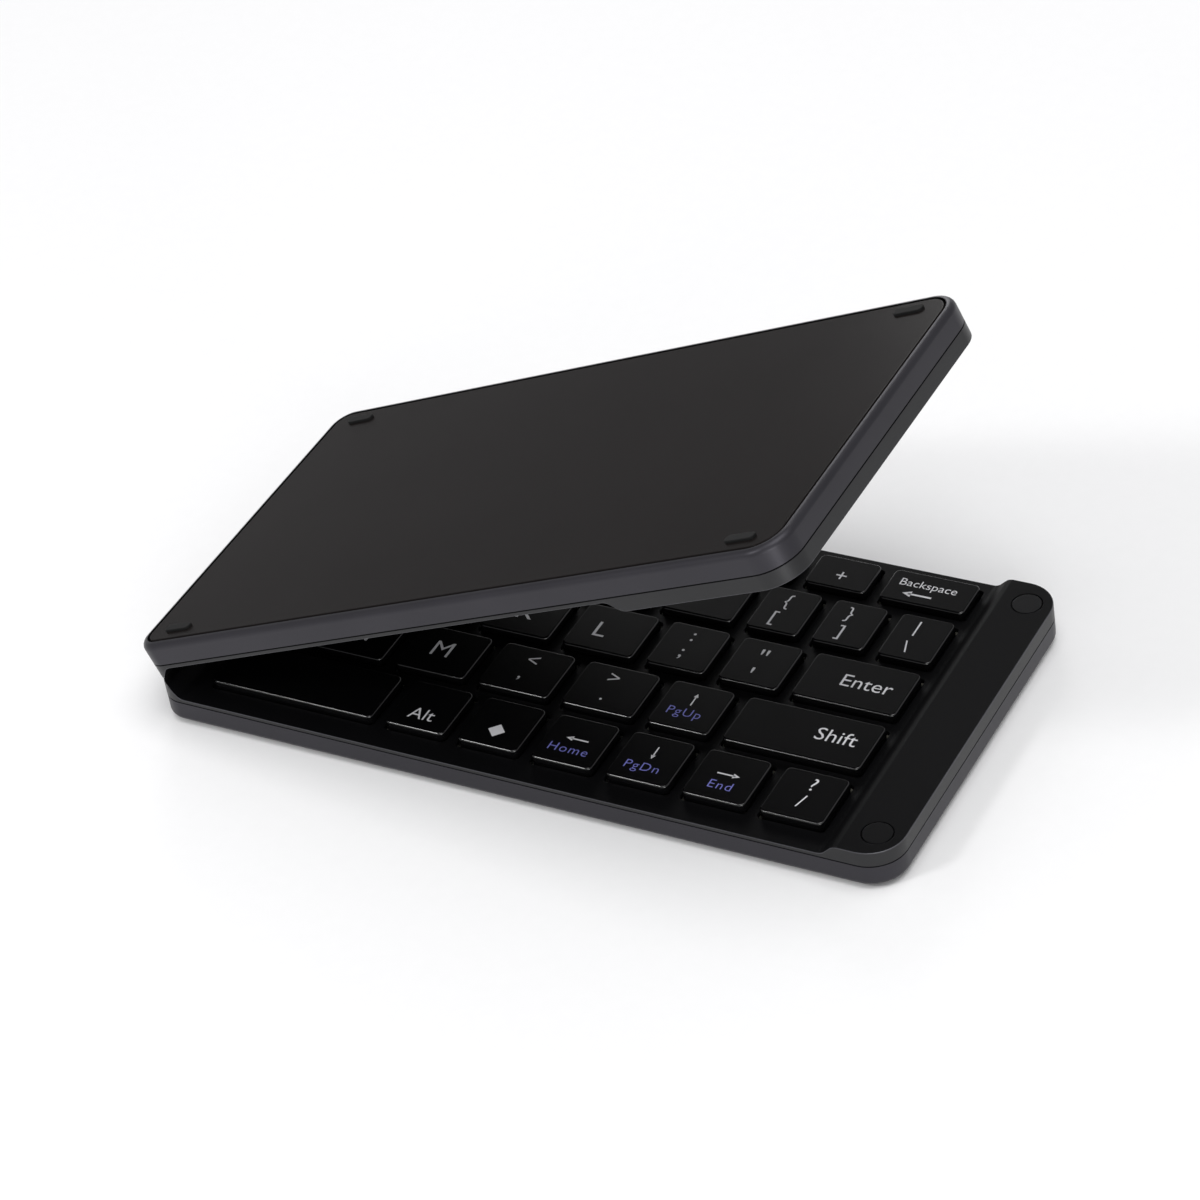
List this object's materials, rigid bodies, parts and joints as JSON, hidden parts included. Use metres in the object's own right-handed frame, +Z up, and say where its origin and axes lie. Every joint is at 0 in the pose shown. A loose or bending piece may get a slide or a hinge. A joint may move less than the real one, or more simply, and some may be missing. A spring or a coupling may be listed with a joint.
{
  "type": "folding keyboard",
  "caption": "Slim pocket keyboard whose two halves fold face to face on an end hinge, with low separate keys, rounded metal shells and small rubber feet.",
  "frame": {"origin": "centre of the bounding box's underside at rest, level with the rubber feet's undersides", "axes": "+X along the base half from the hinge to its far end, +Y from the front row of keys to the number row, +Z up out of the base's keys"},
  "size_m": [0.1588, 0.08, 0.0746],
  "materials": {
    "shell": "bead-blasted anodised gunmetal, satin",
    "panel": "satin near-black coating",
    "deck": "fine-textured satin black",
    "key": "satin black, slightly glossy tops",
    "steel": "plain",
    "membrane": "translucent film",
    "scissor": "natural acetal",
    "dome": "translucent silicone",
    "foot": "matte black",
    "magnet": "dark nickel plating",
    "flex": "polyimide film",
    "board": "solder mask",
    "battery": "foil pouch",
    "light": "clear light guide"
  },
  "bodies": {
    "base": {"base_tray": "shell", "base_panel": "panel", "base_frame": "deck", "base_key_plate": "steel", "base_membrane": "membrane", "base_scissors": "scissor", "base_domes": "dome", "base_feet": "foot", "base_magnets": "magnet", "base_screws": "steel", "hinge_leaf_base": "steel", "hinge_pins": "steel", "hinge_flex": "flex"},
    "lid": {"lid_tray": "shell", "lid_panel": "panel", "lid_frame": "deck", "lid_key_plate": "steel", "lid_membrane": "membrane", "lid_scissors": "scissor", "lid_domes": "dome", "lid_feet": "foot", "lid_magnets": "magnet", "lid_screws": "steel", "hinge_leaf_lid": "steel", "main_board": "board", "battery": "battery", "charging_socket": "steel", "status_lights": "light"},
    "switch": {"power_switch": "foot"},
    "key_space": {"key_space": "key"},
    "key_alt": {"key_alt": "key"},
    "key_menu": {"key_menu": "key"},
    "key_left": {"key_left": "key"},
    "key_down": {"key_down": "key"},
    "key_right": {"key_right": "key"},
    "key_slash": {"key_slash": "key"},
    "key_n": {"key_n": "key"},
    "key_m": {"key_m": "key"},
    "key_comma": {"key_comma": "key"},
    "key_dot": {"key_dot": "key"},
    "key_up": {"key_up": "key"},
    "key_shift": {"key_shift": "key"},
    "key_k": {"key_k": "key"},
    "key_l": {"key_l": "key"},
    "key_semicolon": {"key_semicolon": "key"},
    "key_quote": {"key_quote": "key"},
    "key_enter": {"key_enter": "key"},
    "key_p": {"key_p": "key"},
    "key_bracket_left": {"key_bracket_left": "key"},
    "key_bracket_right": {"key_bracket_right": "key"},
    "key_backslash": {"key_backslash": "key"},
    "key_plus": {"key_plus": "key"},
    "key_backspace": {"key_backspace": "key"},
    "keys_numbers": {"keys_numbers": "key"},
    "keys_letters": {"keys_letters": "key"},
    "lid_row_space": {"lid_row_space": "key"},
    "lid_row_shift": {"lid_row_shift": "key"},
    "lid_row_home": {"lid_row_home": "key"},
    "lid_row_tab": {"lid_row_tab": "key"},
    "lid_row_numbers": {"lid_row_numbers": "key"}
  },
  "joints": [
    {"name": "lid_hinge", "type": "hinge", "parent": "base", "child": "lid", "pos_m": [-0.0774, 0, 0.00865], "axis": [0, -1, 0], "range_deg": [-22, 158], "deforming": ["hinge_flex"]},
    {"name": "key_space_press", "type": "slide", "parent": "base", "child": "key_space", "axis": [0, 0, -1], "range_m": [0, 0.0013], "stiffness_N_per_m": 300, "springref_m": -0.0005, "deforming": ["base_scissors", "base_domes"]},
    {"name": "key_alt_press", "type": "slide", "parent": "base", "child": "key_alt", "axis": [0, 0, -1], "range_m": [0, 0.0013], "stiffness_N_per_m": 300, "springref_m": -0.0005, "deforming": ["base_scissors", "base_domes"]},
    {"name": "key_menu_press", "type": "slide", "parent": "base", "child": "key_menu", "axis": [0, 0, -1], "range_m": [0, 0.0013], "stiffness_N_per_m": 300, "springref_m": -0.0005, "deforming": ["base_scissors", "base_domes"]},
    {"name": "key_left_press", "type": "slide", "parent": "base", "child": "key_left", "axis": [0, 0, -1], "range_m": [0, 0.0013], "stiffness_N_per_m": 300, "springref_m": -0.0005, "deforming": ["base_scissors", "base_domes"]},
    {"name": "key_down_press", "type": "slide", "parent": "base", "child": "key_down", "axis": [0, 0, -1], "range_m": [0, 0.0013], "stiffness_N_per_m": 300, "springref_m": -0.0005, "deforming": ["base_scissors", "base_domes"]},
    {"name": "key_right_press", "type": "slide", "parent": "base", "child": "key_right", "axis": [0, 0, -1], "range_m": [0, 0.0013], "stiffness_N_per_m": 300, "springref_m": -0.0005, "deforming": ["base_scissors", "base_domes"]},
    {"name": "key_slash_press", "type": "slide", "parent": "base", "child": "key_slash", "axis": [0, 0, -1], "range_m": [0, 0.0013], "stiffness_N_per_m": 300, "springref_m": -0.0005, "deforming": ["base_scissors", "base_domes"]},
    {"name": "key_n_press", "type": "slide", "parent": "base", "child": "key_n", "axis": [0, 0, -1], "range_m": [0, 0.0013], "stiffness_N_per_m": 300, "springref_m": -0.0005, "deforming": ["base_scissors", "base_domes"]},
    {"name": "key_m_press", "type": "slide", "parent": "base", "child": "key_m", "axis": [0, 0, -1], "range_m": [0, 0.0013], "stiffness_N_per_m": 300, "springref_m": -0.0005, "deforming": ["base_scissors", "base_domes"]},
    {"name": "key_comma_press", "type": "slide", "parent": "base", "child": "key_comma", "axis": [0, 0, -1], "range_m": [0, 0.0013], "stiffness_N_per_m": 300, "springref_m": -0.0005, "deforming": ["base_scissors", "base_domes"]},
    {"name": "key_dot_press", "type": "slide", "parent": "base", "child": "key_dot", "axis": [0, 0, -1], "range_m": [0, 0.0013], "stiffness_N_per_m": 300, "springref_m": -0.0005, "deforming": ["base_scissors", "base_domes"]},
    {"name": "key_up_press", "type": "slide", "parent": "base", "child": "key_up", "axis": [0, 0, -1], "range_m": [0, 0.0013], "stiffness_N_per_m": 300, "springref_m": -0.0005, "deforming": ["base_scissors", "base_domes"]},
    {"name": "key_shift_press", "type": "slide", "parent": "base", "child": "key_shift", "axis": [0, 0, -1], "range_m": [0, 0.0013], "stiffness_N_per_m": 300, "springref_m": -0.0005, "deforming": ["base_scissors", "base_domes"]},
    {"name": "key_k_press", "type": "slide", "parent": "base", "child": "key_k", "axis": [0, 0, -1], "range_m": [0, 0.0013], "stiffness_N_per_m": 300, "springref_m": -0.0005, "deforming": ["base_scissors", "base_domes"]},
    {"name": "key_l_press", "type": "slide", "parent": "base", "child": "key_l", "axis": [0, 0, -1], "range_m": [0, 0.0013], "stiffness_N_per_m": 300, "springref_m": -0.0005, "deforming": ["base_scissors", "base_domes"]},
    {"name": "key_semicolon_press", "type": "slide", "parent": "base", "child": "key_semicolon", "axis": [0, 0, -1], "range_m": [0, 0.0013], "stiffness_N_per_m": 300, "springref_m": -0.0005, "deforming": ["base_scissors", "base_domes"]},
    {"name": "key_quote_press", "type": "slide", "parent": "base", "child": "key_quote", "axis": [0, 0, -1], "range_m": [0, 0.0013], "stiffness_N_per_m": 300, "springref_m": -0.0005, "deforming": ["base_scissors", "base_domes"]},
    {"name": "key_enter_press", "type": "slide", "parent": "base", "child": "key_enter", "axis": [0, 0, -1], "range_m": [0, 0.0013], "stiffness_N_per_m": 300, "springref_m": -0.0005, "deforming": ["base_scissors", "base_domes"]},
    {"name": "key_p_press", "type": "slide", "parent": "base", "child": "key_p", "axis": [0, 0, -1], "range_m": [0, 0.0013], "stiffness_N_per_m": 300, "springref_m": -0.0005, "deforming": ["base_scissors", "base_domes"]},
    {"name": "key_bracket_left_press", "type": "slide", "parent": "base", "child": "key_bracket_left", "axis": [0, 0, -1], "range_m": [0, 0.0013], "stiffness_N_per_m": 300, "springref_m": -0.0005, "deforming": ["base_scissors", "base_domes"]},
    {"name": "key_bracket_right_press", "type": "slide", "parent": "base", "child": "key_bracket_right", "axis": [0, 0, -1], "range_m": [0, 0.0013], "stiffness_N_per_m": 300, "springref_m": -0.0005, "deforming": ["base_scissors", "base_domes"]},
    {"name": "key_backslash_press", "type": "slide", "parent": "base", "child": "key_backslash", "axis": [0, 0, -1], "range_m": [0, 0.0013], "stiffness_N_per_m": 300, "springref_m": -0.0005, "deforming": ["base_scissors", "base_domes"]},
    {"name": "key_plus_press", "type": "slide", "parent": "base", "child": "key_plus", "axis": [0, 0, -1], "range_m": [0, 0.0013], "stiffness_N_per_m": 300, "springref_m": -0.0005, "deforming": ["base_scissors", "base_domes"]},
    {"name": "key_backspace_press", "type": "slide", "parent": "base", "child": "key_backspace", "axis": [0, 0, -1], "range_m": [0, 0.0013], "stiffness_N_per_m": 300, "springref_m": -0.0005, "deforming": ["base_scissors", "base_domes"]},
    {"name": "keys_numbers_press", "type": "slide", "parent": "base", "child": "keys_numbers", "axis": [0, 0, -1], "range_m": [0, 0.0013], "stiffness_N_per_m": 300, "springref_m": -0.0005, "deforming": ["base_scissors", "base_domes"]},
    {"name": "keys_letters_press", "type": "slide", "parent": "base", "child": "keys_letters", "axis": [0, 0, -1], "range_m": [0, 0.0013], "stiffness_N_per_m": 300, "springref_m": -0.0005, "deforming": ["base_scissors", "base_domes"]},
    {"name": "lid_row_space_press", "type": "slide", "parent": "lid", "child": "lid_row_space", "axis": [-0.3746, 0, 0.9272], "range_m": [0, 0.0013], "stiffness_N_per_m": 300, "springref_m": -0.0005, "deforming": ["lid_scissors", "lid_domes"]},
    {"name": "lid_row_shift_press", "type": "slide", "parent": "lid", "child": "lid_row_shift", "axis": [-0.3746, 0, 0.9272], "range_m": [0, 0.0013], "stiffness_N_per_m": 300, "springref_m": -0.0005, "deforming": ["lid_scissors", "lid_domes"]},
    {"name": "lid_row_home_press", "type": "slide", "parent": "lid", "child": "lid_row_home", "axis": [-0.3746, 0, 0.9272], "range_m": [0, 0.0013], "stiffness_N_per_m": 300, "springref_m": -0.0005, "deforming": ["lid_scissors", "lid_domes"]},
    {"name": "lid_row_tab_press", "type": "slide", "parent": "lid", "child": "lid_row_tab", "axis": [-0.3746, 0, 0.9272], "range_m": [0, 0.0013], "stiffness_N_per_m": 300, "springref_m": -0.0005, "deforming": ["lid_scissors", "lid_domes"]},
    {"name": "lid_row_numbers_press", "type": "slide", "parent": "lid", "child": "lid_row_numbers", "axis": [-0.3746, 0, 0.9272], "range_m": [0, 0.0013], "stiffness_N_per_m": 300, "springref_m": -0.0005, "deforming": ["lid_scissors", "lid_domes"]},
    {"name": "power_switch_slide", "type": "slide", "parent": "lid", "child": "switch", "axis": [0.9272, 0, 0.3746], "range_m": [0, 0.002]}
  ]
}
